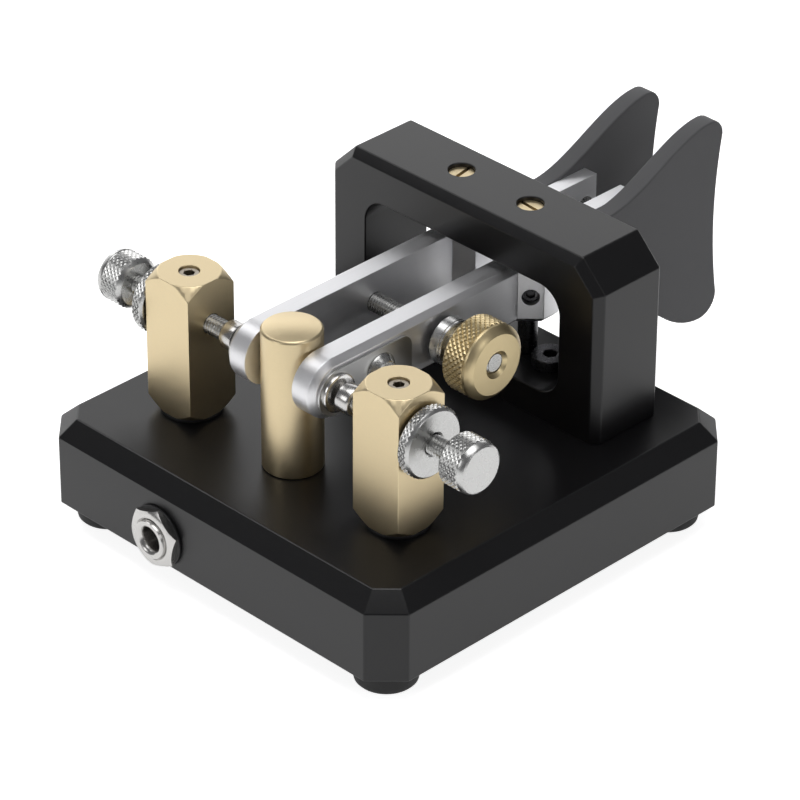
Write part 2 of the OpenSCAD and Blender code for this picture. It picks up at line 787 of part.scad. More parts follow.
module centre_post() {
  color([0.86, 0.78, 0.62]) translate([0, post_y, deck]) difference() {
    union() {
      cylinder(d = centre_d, h = centre_h - centre_c);
      translate([0, 0, centre_h - centre_c]) cylinder(d1 = centre_d, d2 = centre_d - 2 * centre_c, h = centre_c);
    }
    translate([0, 0, -over]) cylinder(d = post_screw_d + 2 * fit, h = post_screw_in + fit + over);
  }
}

module at_contact_posts() {
  for (s = [-1, 1]) translate([s * post_x, post_y, 0]) children();
}

module post_insulators() {
  color([0.12, 0.12, 0.12]) at_contact_posts() difference() {
    translate([0, 0, deck]) cylinder(r = post_end_r, h = insulator_t);
    translate([0, 0, deck - over]) cylinder(d = post_screw_d + 2 * fit, h = insulator_t + 2 * over);
  }
}

module post_bushes() {
  color([0.15, 0.15, 0.15]) at_contact_posts() difference() {
    union() {
      translate([0, 0, bush_head]) cylinder(d = counterbore_d - 2 * pocket_gap, h = bush_flange_t);
      translate([0, 0, bush_head]) cylinder(d = bush_d, h = deck - bush_head);
    }
    translate([0, 0, bush_head - over]) cylinder(d = post_screw_d + 2 * fit, h = deck);
  }
}

// Screw from below, with its head under the lug
module post_screw(lug_top, end) {
  seat = lug_top - lug_t;
  difference() {
    union() {
      translate([0, 0, seat]) cylinder(d = post_screw_d, h = end - seat);
      translate([0, 0, seat - post_screw_head_h]) cylinder(d = post_screw_head_d, h = post_screw_head_h);
    }
    translate([0, 0, seat - post_screw_head_h]) mirror([0, 0, 1])
      hex_recess(af = post_screw_head_d / 2.4, deep = post_screw_head_h / 1.4);
  }
}

module post_screws() {
  color([0.72, 0.72, 0.71]) {
    at_contact_posts() post_screw(bush_head, deck + insulator_t + post_screw_in);
    translate([0, post_y, 0]) post_screw(bush_head, deck + post_screw_in);
  }
}

// Ring lug with a tail that points back to the wire channel
module solder_lug(thick) {
  difference() {
    union() {
      translate([0, 0, bush_head - lug_t]) cylinder(d = post_screw_head_d, h = thick);
      translate([-lug_w / 2, -lug_reach, bush_head - lug_t]) cube([lug_w, lug_reach, lug_t]);
    }
    translate([0, 0, foot_h]) cylinder(d = post_screw_d + 2 * fit, h = base_h);
  }
}

module solder_lugs() {
  color([0.80, 0.77, 0.66]) {
    at_contact_posts() solder_lug(lug_t);
    translate([0, post_y, 0]) solder_lug(lug_t + bush_flange_t);
  }
}

module set_screw() {
  top = post_top - set_recess;
  color([0.70, 0.70, 0.70]) translate([post_x, post_y, 0]) difference() {
    translate([0, 0, set_bottom]) cylinder(d = rod_d, h = top - set_bottom);
    translate([0, 0, top]) hex_recess(af = rod_d / 2, deep = (top - set_bottom) / 2);
  }
}

module left_set_screw() { left_side() set_screw(); }
module right_set_screw() { set_screw(); }

// Round head along X: knurled length, then a smooth rim that narrows to the end face
module round_head(x0, x1, d, rim, face_r) {
  rod_x(x0, x1 - rim, d);
  cone_x(x1 - rim, x1, d / 2, face_r);
}

module contact_screw() {
  color([0.74, 0.74, 0.73]) at_contact() difference() {
    union() {
      rod_x(collar_face, screw_head + over, rod_d);
      cone_x(screw_head, screw_head + knurl_c, knurl_d / 2 - knurl_c, knurl_d / 2);
      round_head(screw_head + knurl_c, screw_end, knurl_d, knurl_rim, knurl_d / 2 - knurl_rim / 2);
    }
    rod_x(collar_face - over, collar_face + tip_stem_l + turn_gap, tip_stem_d + 2 * run_fit);
  }
}

module contact_collar() {
  color([0.80, 0.80, 0.79]) at_contact() difference() {
    rod_x(collar_face, collar_face + collar_l, collar_d);
    rod_x(collar_face - over, collar_face + collar_l + over, rod_d + 2 * fit);
  }
}

module contact_tip() {
  color([0.92, 0.92, 0.91]) at_contact() {
    rod_x(tip_face, collar_face - turn_gap, tip_d);
    rod_x(tip_face, collar_face + tip_stem_l, tip_stem_d);
  }
}

module lock_nut() {
  color([0.74, 0.74, 0.73]) at_contact() difference() {
    rod_x(lock_face, lock_face + lock_t, lock_d);
    rod_x(lock_face - over, lock_face + lock_t + over, rod_d + 2 * run_fit);
  }
}

module left_contact_screw() { left_side() contact_screw(); }
module right_contact_screw() { contact_screw(); }
module left_contact_collar() { left_side() contact_collar(); }
module right_contact_collar() { contact_collar(); }
module left_contact_tip() { left_side() contact_tip(); }
module right_contact_tip() { contact_tip(); }
module left_lock_nut() { left_side() lock_nut(); }
module right_lock_nut() { lock_nut(); }

module tension_rod() {
  color([0.74, 0.74, 0.73]) at_tension() rod_x(-knob_end, rod_anchor, rod_d);
}

module spring_cup() {
  color([0.78, 0.78, 0.78]) left_side() at_tension() difference() {
    union() {
      rod_x(cup_start, cup_shoulder, cup_d);
      rod_x(cup_start, cup_stop, neck_d);
    }
    rod_x(cup_start - over, cup_shoulder - cup_end, cup_d - 2 * cup_wall);
    rod_x(cup_start, cup_stop + over, rod_d + 2 * run_fit);
  }
}

module tension_knob() {
  color([0.86, 0.78, 0.62]) left_side() at_tension() difference() {
    round_head(knob_start, knob_end, knob_d, knob_rim, knob_face_r);
    rod_x(knob_start - over, knob_end + over, rod_d + 2 * run_fit);
  }
}

// Spring: one tube with six sides and eight rings a turn
curl_rings = 8;
tube_sides = 6;
spring_rings = spring_turns * curl_rings;
spring_line = [for (i = [0 : spring_rings]) let (a = 360 * i / curl_rings)
  [spring_start + (spring_stop - spring_start) * i / spring_rings, spring_r * cos(a), spring_r * sin(a)]];
spring_points = [for (i = [0 : spring_rings], k = [0 : tube_sides - 1])
  let (a = 360 * i / curl_rings, b = 360 * k / tube_sides, r = spring_r + spring_wire / 2 * cos(b))
  [spring_line[i][0] + spring_wire / 2 * sin(b), r * cos(a), r * sin(a)]];
spring_walls = [for (i = [0 : spring_rings - 1], k = [0 : tube_sides - 1])
  let (a = i * tube_sides + k, b = i * tube_sides + (k + 1) % tube_sides)
  each [[a, b, b + tube_sides], [a, b + tube_sides, a + tube_sides]]];
spring_last = spring_rings * tube_sides;
spring_caps = [for (k = [1 : tube_sides - 2])
  each [[0, k + 1, k], [spring_last, spring_last + k, spring_last + k + 1]]];
spring_self_gap = min([for (i = [0 : spring_rings], j = [i + curl_rings / 2 : spring_rings])
  norm(spring_line[i] - spring_line[j])]) - spring_wire;
echo(spring_self_gap = spring_self_gap);

module tension_spring() {
  color([0.60, 0.60, 0.61]) left_side() at_tension()
    polyhedron(points = spring_points, faces = concat(spring_walls, spring_caps));
}

module at_jack() {
  translate([jack_side, 0, jack_z]) children();
}

// Cylinder along Y from y0 to y1
module rod_y(y0, y1, d) {
  translate([0, y0, 0]) rotate([-90, 0, 0]) cylinder(d = d, h = y1 - y0);
}

module jack_body() {
  color([0.10, 0.10, 0.10]) at_jack() difference() {
    translate([-jack_w / 2, jack_rear, -jack_h / 2]) cube([jack_w, jack_l, jack_h]);
    rod_y(sleeve_front - sleeve_l - fit, jack_front + over, sleeve_d + 2 * fit);
    for (k = [-1, 0, 1]) translate([k * wire_pitch - terminal_w / 2 - fit, jack_rear - over, -terminal_t / 2 - fit])
      cube([terminal_w + 2 * fit, terminal_in + fit + over, terminal_t + 2 * fit]);
  }
}

module jack_sleeve() {
  color([0.80, 0.80, 0.78]) at_jack() difference() {
    rod_y(sleeve_front - sleeve_l, sleeve_front, sleeve_d);
    rod_y(sleeve_front - sleeve_l - over, sleeve_front + over, jack_hole_d);
  }
}

module jack_nut() {
  color([0.85, 0.85, 0.83]) at_jack() difference() {
    translate([0, washer_face, 0]) rotate([-90, 19, 0]) cylinder(d = jack_nut_af * 2 / sqrt(3), h = jack_nut_t, $fn = 6);
    rod_y(washer_face - over, washer_face + jack_nut_t + over, sleeve_d + 2 * fit);
  }
}

module jack_washer() {
  color([0.10, 0.10, 0.10]) at_jack() difference() {
    intersection() {
      rod_y(base_side / 2, washer_face, washer_d);
      translate([-washer_d, base_side / 2, foot_h - jack_z]) cube([2 * washer_d, washer_t, base_h]);
    }
    rod_y(base_side / 2 - over, washer_face + over, sleeve_d + 2 * fit);
  }
}

module jack_terminals() {
  color([0.80, 0.77, 0.66]) at_jack() for (k = [-1, 0, 1])
    translate([k * wire_pitch - terminal_w / 2, terminal_end, -terminal_t / 2])
      cube([terminal_w, terminal_l + terminal_in, terminal_t]);
}

function unit(v) = v / norm(v);
function leftward(v) = [-v[1], v[0]];

// Sideways offset of a wire's ring at point i, mitred at a bend
function ring_side(points, i) =
  let (last = len(points) - 1,
       arrive = leftward(unit(points[max(i, 1)] - points[max(i, 1) - 1])),
       leave = leftward(unit(points[min(i, last - 1) + 1] - points[min(i, last - 1)])),
       middle = unit(arrive + leave))
  middle / (middle * arrive);

// Level wire along a list of points, with eight sides
module wire(points) {
  sides = 8;
  last = (len(points) - 1) * sides;
  rings = [for (i = [0 : len(points) - 1], k = [0 : sides - 1])
    let (a = 360 * k / sides, side = points[i] + ring_side(points, i) * wire_d / 2 * cos(a))
    [side[0], side[1], wire_z + wire_d / 2 * sin(a)]];
  walls = [for (i = [0 : len(points) - 2], k = [0 : sides - 1])
    let (a = i * sides + k, b = i * sides + (k + 1) % sides)
    each [[a, b + sides, b], [a, a + sides, b + sides]]];
  caps = [for (k = [1 : sides - 2]) each [[0, k, k + 1], [last, last + k + 1, last + k]]];
  polyhedron(points = rings, faces = concat(walls, caps));
}

module wires() {
  near = channel_y + channel_w / 6;
  far = channel_y - channel_w / 4;
  start = post_y - lug_reach + 2;
  end = terminal_end - fit;
  color([0.75, 0.12, 0.10]) {
    wire([[-post_x, start], [-post_x, far], [jack_side, far], [jack_side, end]]);
    wire([[0, start], [0, near], [jack_side - wire_pitch, near], [jack_side - wire_pitch, end]]);
    wire([[post_x, start], [post_x, near], [jack_side + wire_pitch, near], [jack_side + wire_pitch, end]]);
  }
}

base_block();
rubber_feet();
yoke();
yoke_screws();
left_top_pivot();
right_top_pivot();
left_bottom_pivot();
right_bottom_pivot();
left_lever();
right_lever();
left_lever_grub();
right_lever_grub();
left_contact_plate();
right_contact_plate();
left_contact_disc();
right_contact_disc();
left_plate_screw();
right_plate_screw();
left_paddle();
right_paddle();
left_paddle_screws();
right_paddle_screws();
left_post();
right_post();
centre_post();
post_insulators();
post_bushes();
post_screws();
solder_lugs();
left_set_screw();
right_set_screw();
left_contact_screw();
right_contact_screw();
left_contact_collar();
right_contact_collar();
left_contact_tip();
right_contact_tip();
left_lock_nut();
right_lock_nut();
tension_rod();
spring_cup();
tension_spring();
tension_knob();
jack_body();
jack_sleeve();
jack_nut();
jack_washer();
jack_terminals();
wires();
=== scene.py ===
"""Paddle telegraph key: two levers between cone pivots in an upright yoke, on a chamfered block."""
import json
import math

import bmesh
import bpy
from mathutils import Matrix, Vector

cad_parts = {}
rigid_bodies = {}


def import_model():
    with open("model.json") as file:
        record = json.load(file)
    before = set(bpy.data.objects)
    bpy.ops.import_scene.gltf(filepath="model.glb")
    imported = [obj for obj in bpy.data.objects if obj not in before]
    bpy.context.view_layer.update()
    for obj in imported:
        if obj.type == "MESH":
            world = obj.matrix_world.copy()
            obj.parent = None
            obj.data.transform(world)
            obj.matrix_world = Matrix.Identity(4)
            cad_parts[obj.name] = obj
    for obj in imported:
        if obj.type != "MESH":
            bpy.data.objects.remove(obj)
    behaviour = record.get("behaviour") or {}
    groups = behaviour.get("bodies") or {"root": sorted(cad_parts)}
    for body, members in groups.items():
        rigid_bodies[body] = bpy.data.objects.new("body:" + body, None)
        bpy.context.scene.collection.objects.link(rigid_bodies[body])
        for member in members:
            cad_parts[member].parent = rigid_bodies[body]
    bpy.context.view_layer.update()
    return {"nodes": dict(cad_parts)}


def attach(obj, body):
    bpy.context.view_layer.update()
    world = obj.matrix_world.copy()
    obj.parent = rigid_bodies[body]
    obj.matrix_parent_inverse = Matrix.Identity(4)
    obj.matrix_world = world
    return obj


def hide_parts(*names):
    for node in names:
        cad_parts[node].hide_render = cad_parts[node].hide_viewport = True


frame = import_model()
mm = 0.001

# Camera: it stands beyond the contact end, to the operator's left and about 32 degrees up.
# Its long lens keeps the block's edges nearly parallel.
azimuth, elevation, roll = math.radians(225.040), math.radians(31.947), math.radians(0.293)
stand = (-0.39955, 0.39662, 0.37111)
long_lens = 205.97
back = Vector((
    math.sin(azimuth) * math.cos(elevation),
    -math.cos(azimuth) * math.cos(elevation),
    math.sin(elevation)))
level = Vector((0, 0, 1)).cross(back).normalized()
upright = back.cross(level)
right = level * math.cos(roll) + upright * math.sin(roll)
up = upright * math.cos(roll) - level * math.sin(roll)
bpy.ops.object.camera_add(location=stand)
camera = bpy.context.object
camera.rotation_euler = Matrix((right, up, back)).transposed().to_euler()
camera.data.sensor_width = 36
camera.data.lens = long_lens
camera.data.clip_start = 0.01
bpy.context.scene.camera = camera
bpy.context.scene.view_settings.view_transform = "Standard"

# Studio: a white floor that keeps the key's soft shadow, white paper behind it, and dimmer sides.
# The lamps are soft boxes, and the floor and the air are white to the camera.
floor_side = 6
seen_glow, mirrored_glow = 0.85, 0.55
air_grey, air_white = (0.15, 0.15, 0.155, 1), (1, 1, 1, 1)
bpy.ops.mesh.primitive_plane_add(size=floor_side)
floor = bpy.context.object
floor.name = "floor"
paper = bpy.data.materials.new("white paper")
paper.use_nodes = True
tree = paper.node_tree
tree.nodes.clear()
paper_out = tree.nodes.new("ShaderNodeOutputMaterial")
paper_face = tree.nodes.new("ShaderNodeBsdfDiffuse")
paper_face.inputs["Color"].default_value = (0.8, 0.8, 0.8, 1)
paper_glow = tree.nodes.new("ShaderNodeEmission")
paper_sum = tree.nodes.new("ShaderNodeAddShader")
paper_ray = tree.nodes.new("ShaderNodeLightPath")
paper_seen = tree.nodes.new("ShaderNodeMath")
paper_seen.operation = "MULTIPLY"
paper_seen.inputs[1].default_value = seen_glow
paper_level = tree.nodes.new("ShaderNodeMath")
paper_level.operation = "MULTIPLY_ADD"
paper_level.inputs[1].default_value = mirrored_glow
tree.links.new(paper_ray.outputs["Is Camera Ray"], paper_seen.inputs[0])
tree.links.new(paper_ray.outputs["Is Glossy Ray"], paper_level.inputs[0])
tree.links.new(paper_seen.outputs[0], paper_level.inputs[2])
tree.links.new(paper_level.outputs[0], paper_glow.inputs["Strength"])
tree.links.new(paper_face.outputs[0], paper_sum.inputs[0])
tree.links.new(paper_glow.outputs[0], paper_sum.inputs[1])
tree.links.new(paper_sum.outputs[0], paper_out.inputs["Surface"])
floor.data.materials.append(paper)

world = bpy.data.worlds.new("studio")
bpy.context.scene.world = world
world.use_nodes = True
air = world.node_tree
sky_ray = air.nodes.new("ShaderNodeLightPath")
sky_mix = air.nodes.new("ShaderNodeMix")
sky_mix.data_type = "RGBA"
sky_mix.inputs["A"].default_value = air_grey
sky_mix.inputs["B"].default_value = air_white
air.links.new(sky_ray.outputs["Is Camera Ray"], sky_mix.inputs["Factor"])
air.links.new(sky_mix.outputs["Result"], air.nodes["Background"].inputs["Color"])

object_middle = Vector((0, 0, 0.02))
for name, place, size, radiance in (
        ("paper behind", (0.42, -0.42, 0.26), (0.75, 0.42), 1.25),
        ("lamp above", (-0.05, 0.02, 0.55), (0.38, 0.38), 2.4),
        ("lamp at the right", (0.42, 0.06, 0.50), (0.26, 0.26), 2.2),
        ("paper at the right", (0.78, -0.16, 0.17), (0.5, 0.34), 0.8),
        ("lamp at the contact end", (0.12, 0.62, 0.32), (0.26, 0.26), 2.2),
        ("lamp at the left", (-0.66, -0.02, 0.36), (0.26, 0.26), 2.0)):
    bpy.ops.object.light_add(type="AREA", location=place)
    lamp = bpy.context.object
    lamp.name = name
    lamp.data.shape = "RECTANGLE"
    lamp.data.size, lamp.data.size_y = size
    lamp.data.energy = radiance * math.pi * size[0] * size[1]
    aim = Vector(place) - object_middle
    lamp.rotation_euler = aim.to_track_quat("Z", "Y").to_euler()


# Base block: one piece of aluminium, milled with wide chamfers, bead blasted and anodised black.
# Its sharp edges are broken by a small round. The recesses for the screws and the jack are underneath.
def finish(name, colour, metallic, roughness, stretch, scale, rough, height, tint):
    """New finish: noise on object coordinates moves its roughness, its height and its tone a little.

    The noise has its scale and is stretched by axis. It moves the roughness by up to rough, the height by up to
    height in millimetres, and the colour by the share tint.
    """
    made = bpy.data.materials.new(name)
    made.use_nodes = True
    nodes, links = made.node_tree.nodes, made.node_tree.links
    face = nodes["Principled BSDF"]
    face.inputs["Metallic"].default_value = metallic
    place = nodes.new("ShaderNodeTexCoord")
    turn = nodes.new("ShaderNodeMapping")
    turn.name = "place"
    turn.inputs["Scale"].default_value = stretch
    noise = nodes.new("ShaderNodeTexNoise")
    noise.inputs["Scale"].default_value = scale
    noise.inputs["Detail"].default_value = 3
    links.new(place.outputs["Object"], turn.inputs["Vector"])
    links.new(turn.outputs["Vector"], noise.inputs["Vector"])
    spread = nodes.new("ShaderNodeMapRange")
    spread.inputs["From Min"].default_value = 0.3
    spread.inputs["From Max"].default_value = 0.7
    spread.inputs["To Min"].default_value = roughness - rough
    spread.inputs["To Max"].default_value = roughness + rough
    links.new(noise.outputs["Fac"], spread.inputs["Value"])
    links.new(spread.outputs["Result"], face.inputs["Roughness"])
    bump = nodes.new("ShaderNodeBump")
    bump.inputs["Strength"].default_value = 0.5
    bump.inputs["Distance"].default_value = height * mm
    links.new(noise.outputs["Fac"], bump.inputs["Height"])
    links.new(bump.outputs["Normal"], face.inputs["Normal"])
    tone = nodes.new("ShaderNodeMix")
    tone.data_type = "RGBA"
    tone.inputs["A"].default_value = (*(Vector(colour) * (1 - tint)), 1)
    tone.inputs["B"].default_value = (*(Vector(colour) * (1 + tint)), 1)
    links.new(noise.outputs["Fac"], tone.inputs["Factor"])
    links.new(tone.outputs["Result"], face.inputs["Base Color"])
    return made


def dress(piece, body, node, material):
    """Gives a piece its finish and its body, and lets it stand for its CAD node."""
    piece.data.materials.clear()
    piece.data.materials.append(material)
    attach(piece, body)
    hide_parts(node)
    return piece


weld = 0.000002
fine_weld = 0.000001


def broken_edges(node, name, width):
    """Merged copy of a CAD node with its sharp edges rounded by width, in millimetres."""
    bpy.ops.object.select_all(action="DESELECT")
    source = frame["nodes"][node]
    source.select_set(True)
    bpy.context.view_layer.objects.active = source
    bpy.ops.object.duplicate()
    piece = bpy.context.object
    piece.name = piece.data.name = name
    bpy.ops.object.parent_clear(type="CLEAR_KEEP_TRANSFORM")
    bpy.ops.object.mode_set(mode="EDIT")
    bpy.ops.mesh.select_all(action="SELECT")
    bpy.ops.mesh.remove_doubles(threshold=weld)
    bpy.ops.mesh.dissolve_limited(angle_limit=math.radians(0.4))
    bpy.ops.object.mode_set(mode="OBJECT")
    edge = piece.modifiers.new("edges", "BEVEL")
    edge.width = width * mm
    edge.segments = 2
    edge.limit_method = "ANGLE"
    edge.angle_limit = math.radians(28)
    edge.use_clamp_overlap = False
    bpy.ops.object.modifier_apply(modifier="edges")
    bpy.ops.object.shade_smooth()
    piece.modifiers.new("flats", "WEIGHTED_NORMAL")
    bpy.ops.object.modifier_apply(modifier="flats")
    return piece


even = (1, 1, 1)
black = finish("black anodised aluminium", (0.0042, 0.0040, 0.0048), 0.0, 0.33, even, 5000, 0.04, 0.008, 0.2)
block_edge = 0.2
dress(broken_edges("base_block", "base_block_milled", block_edge), "frame", "base_block", black)


# Feet: four round rubber feet with a stem pressed into the block.
# They are moulded with a rounded foot and a small step at the top.
def turned(name, profile, axis, place=(0, 0, 0), steps=72):
    """Solid of revolution about an axis through place, from (distance, radius) pairs in millimetres."""
    along = Vector([letter == axis for letter in "XYZ"])
    out = Vector((1, 0, 0)) if axis == "Z" else Vector((0, 0, 1))
    centre = Vector(place) * mm
    line = [centre + (along * a + out * r) * mm for a, r in profile]
    bpy.ops.object.select_all(action="DESELECT")
    bpy.ops.mesh.primitive_plane_add(size=mm)
    piece = bpy.context.object
    piece.name = piece.data.name = name
    bpy.ops.object.mode_set(mode="EDIT")
    bpy.ops.mesh.merge(type="CENTER")
    bpy.ops.transform.translate(value=line[0])
    for here, there in zip(line, line[1:]):
        bpy.ops.mesh.extrude_region_move(TRANSFORM_OT_translate={"value": there - here})
    bpy.ops.mesh.select_all(action="SELECT")
    bpy.ops.mesh.spin(steps=steps, angle=2 * math.pi, center=centre, axis=along)
    bpy.ops.mesh.select_all(action="SELECT")
    bpy.ops.mesh.remove_doubles(threshold=fine_weld)
    bpy.ops.mesh.normals_make_consistent(inside=False)
    bpy.ops.object.mode_set(mode="OBJECT")
    bpy.ops.object.shade_smooth_by_angle(angle=math.radians(38))
    return piece


def joined(pieces, name):
    """Joins pieces into the first one."""
    bpy.ops.object.select_all(action="DESELECT")
    for piece in pieces:
        piece.select_set(True)
    bpy.context.view_layer.objects.active = pieces[0]
    bpy.ops.object.join()
    pieces[0].name = pieces[0].data.name = name
    return pieces[0]


foot_centre = 29
rubber = finish("black rubber", (0.03, 0.03, 0.03), 0.0, 0.62, even, 2600, 0.08, 0.02, 0.3)
foot_profile = [
    (0, 0), (0, 3.9), (0.12, 4.3), (0.45, 4.6), (0.9, 4.7), (3.3, 4.7), (3.45, 4.62), (3.6, 4.7),
    (4, 4.7), (4, 2.5), (7, 2.5), (7, 0)]
corners = [(x, y, 0) for x in (-foot_centre, foot_centre) for y in (-foot_centre, foot_centre)]
feet = [turned("foot", foot_profile, "Z", corner) for corner in corners]
dress(joined(feet, "rubber_feet_moulded"), "frame", "rubber_feet", rubber)


# Jack: a 3.5 mm socket with its body in a pocket, its sleeve through the wall of the block.
# A black washer and a thin hexagon nut, nickel plated, hold it from outside.
def hexagon(piece, place, half, turn):
    """Saws six flats, half a spanner's width from the Y axis through place, on a turned blank."""
    bpy.context.view_layer.objects.active = piece
    bpy.ops.object.mode_set(mode="EDIT")
    for k in range(6):
        angle = math.radians(turn + 60 * k)
        normal = Vector((math.cos(angle), 0, math.sin(angle)))
        bpy.ops.mesh.select_all(action="SELECT")
        bpy.ops.mesh.bisect(
            plane_co=(Vector(place) + normal * half) * mm, plane_no=normal,
            use_fill=True, clear_outer=True, threshold=fine_weld)
    bpy.ops.object.mode_set(mode="OBJECT")
    bpy.ops.object.shade_smooth_by_angle(angle=math.radians(25))
    return piece


nickel = finish("bright nickel", (0.60, 0.59, 0.575), 1.0, 0.24, even, 700, 0.04, 0.002, 0.04)
plastic = finish("black moulded plastic", (0.012, 0.012, 0.013), 0.0, 0.45, even, 2600, 0.08, 0.01, 0.3)
tin = finish("tinned brass", (0.75, 0.72, 0.62), 1.0, 0.34, even, 2600, 0.06, 0.006, 0.1)
jack = (10.2, 0, 8.5)
sleeve_profile = [
    (23.1, 1.8), (23.1, 2.8), (23.3, 3), (37.85, 3), (38.02, 2.93), (38.1, 2.72), (38.06, 2.4), (37.9, 2.15),
    (37.6, 1.9), (37.2, 1.8), (23.1, 1.8)]
dress(turned("jack_sleeve_turned", sleeve_profile, "Y", jack), "frame", "jack_sleeve", nickel)
nut_profile = [
    (36.4, 3.06), (36.4, 4.91), (36.9, 4.91), (37.15, 4.62), (37.36, 4.3), (37.51, 3.95), (37.6, 3.55),
    (37.57, 3.3), (37.4, 3.06), (36.4, 3.06)]
nut_half, nut_turn = 4.25, 11
jack_nut = hexagon(turned("jack_nut_milled", nut_profile, "Y", jack, 96), jack, nut_half, nut_turn)
dress(jack_nut, "frame", "jack_nut", nickel)
dress(broken_edges("jack_washer", "jack_washer_cut", 0.06), "frame", "jack_washer", plastic)
dress(broken_edges("jack_body", "jack_body_moulded", 0.15), "frame", "jack_body", plastic)
dress(broken_edges("jack_terminals", "jack_terminals_cut", 0.04), "frame", "jack_terminals", tin)

# Under the block: shouldered bushes keep the two square posts' screws clear of it.
# Socket screws go up into the posts, over ring lugs, and soft wires run in the channel to the jack.
screw_steel = finish("stainless steel", (0.50, 0.50, 0.49), 1.0, 0.28, (0.2, 1, 1), 5000, 0.06, 0.004, 0.08)
wire_red = finish("red wire cover", (0.45, 0.03, 0.02), 0.0, 0.4, even, 2000, 0.06, 0.006, 0.12)
dress(broken_edges("post_bushes", "post_bushes_turned", 0.06), "frame", "post_bushes", plastic)
dress(broken_edges("post_screws", "post_screws_headed", 0.12), "frame", "post_screws", screw_steel)
dress(broken_edges("solder_lugs", "solder_lugs_stamped", 0.05), "frame", "solder_lugs", tin)
for part in frame["nodes"]["wires"].material_slots:
    part.material = wire_red


# Contact posts and the centre post: satin brass, the square ones with both ends turned to a cone.
# Thin insulating discs under the square posts keep them clear of the block.
def ringed(made, centre):
    """Adds the lathe's fine rings round centre, the middle of a post's top in millimetres, to a finish."""
    nodes, links = made.node_tree.nodes, made.node_tree.links
    place = nodes.new("ShaderNodeTexCoord")
    turn = nodes.new("ShaderNodeMapping")
    turn.inputs["Location"].default_value = [-c * mm for c in centre]
    rings = nodes.new("ShaderNodeTexWave")
    rings.wave_type = "RINGS"
    rings.rings_direction = "Z"
    rings.inputs["Scale"].default_value = 900
    rings.inputs["Distortion"].default_value = 1.5
    parts = nodes.new("ShaderNodeSeparateXYZ")
    on_top = nodes.new("ShaderNodeMapRange")
    on_top.inputs["From Min"].default_value = -0.15 * mm
    on_top.inputs["From Max"].default_value = -0.05 * mm
    on_top.inputs["To Max"].default_value = 0.4
    height = nodes.new("ShaderNodeBump")
    height.inputs["Distance"].default_value = 0.004 * mm
    links.new(place.outputs["Object"], turn.inputs["Vector"])
    links.new(turn.outputs["Vector"], rings.inputs["Vector"])
    links.new(turn.outputs["Vector"], parts.inputs["Vector"])
    links.new(parts.outputs["Z"], on_top.inputs["Value"])
    links.new(on_top.outputs["Result"], height.inputs["Strength"])
    links.new(rings.outputs["Fac"], height.inputs["Height"])
    links.new(nodes["Bump"].outputs["Normal"], height.inputs["Normal"])
    links.new(height.outputs["Normal"], nodes["Principled BSDF"].inputs["Normal"])
    return made


def satin_brass(name, colour=(0.76, 0.63, 0.40)):
    return finish(name, colour, 1.0, 0.38, even, 2600, 0.04, 0.001, 0.04)


post_side, post_row, post_top, centre_top = 21.25, 19.1, 40.7, 40.5
# The set screws are steel, but their colour is painted darker and warm brown: painted shade and a painted
# reflection of the brass post round them.
steel_painted_brass_reflection = finish("steel with painted shade and brass reflection", (0.40, 0.36, 0.30), 1.0, 0.32, even, 3000, 0.06, 0.002, 0.1)
hand_of = {"left": -1, "right": 1}
for side, hand in hand_of.items():
    post_brass = ringed(satin_brass(side + " post brass"), (hand * post_side, post_row, post_top))
    dress(broken_edges(side + "_post", side + "_post_milled", 0.1), "frame", side + "_post", post_brass)
    set_screw = broken_edges(side + "_set_screw", side + "_set_screw_cut", 0.12)
    dress(set_screw, "frame", side + "_set_screw", steel_painted_brass_reflection)
dress(broken_edges("post_insulators", "post_insulators_cut", 0.05), "frame", "post_insulators", plastic)
centre_brass = ringed(satin_brass("centre post brass"), (0, post_row, centre_top))
centre_profile = [
    (17.75, 2.05), (17.75, 4.3), (17.95, 4.5), (40.1, 4.5), (40.2, 4.47), (40.45, 4.2), (centre_top, 4.1),
    (centre_top, 0), (24.8, 0), (24.8, 2.05), (17.75, 2.05)]
centre_post = turned("centre_post_turned", centre_profile, "Z", (0, post_row, 0), 96)
dress(centre_post, "frame", "centre_post", centre_brass)

# Yoke: one piece with a window, milled and anodised like the block, on two socket screws.
# The brass pivot screws above have a slot, and blackened studs stand below; all four end in a cone.
pivot_brass = satin_brass("pivot brass")
black_steel = finish("blackened steel", (0.09, 0.09, 0.095), 1.0, 0.3, even, 3000, 0.06, 0.004, 0.15)
dress(broken_edges("yoke", "yoke_milled", block_edge), "frame", "yoke", black)
dress(broken_edges("yoke_screws", "yoke_screws_headed", 0.15), "frame", "yoke_screws", black_steel)
for side in hand_of:
    screw = broken_edges(side + "_top_pivot", side + "_top_pivot_cut", 0.05)
    dress(screw, "frame", side + "_top_pivot", pivot_brass)
    stud = broken_edges(side + "_bottom_pivot", side + "_bottom_pivot_cut", 0.05)
    dress(stud, "frame", side + "_bottom_pivot", black_steel)

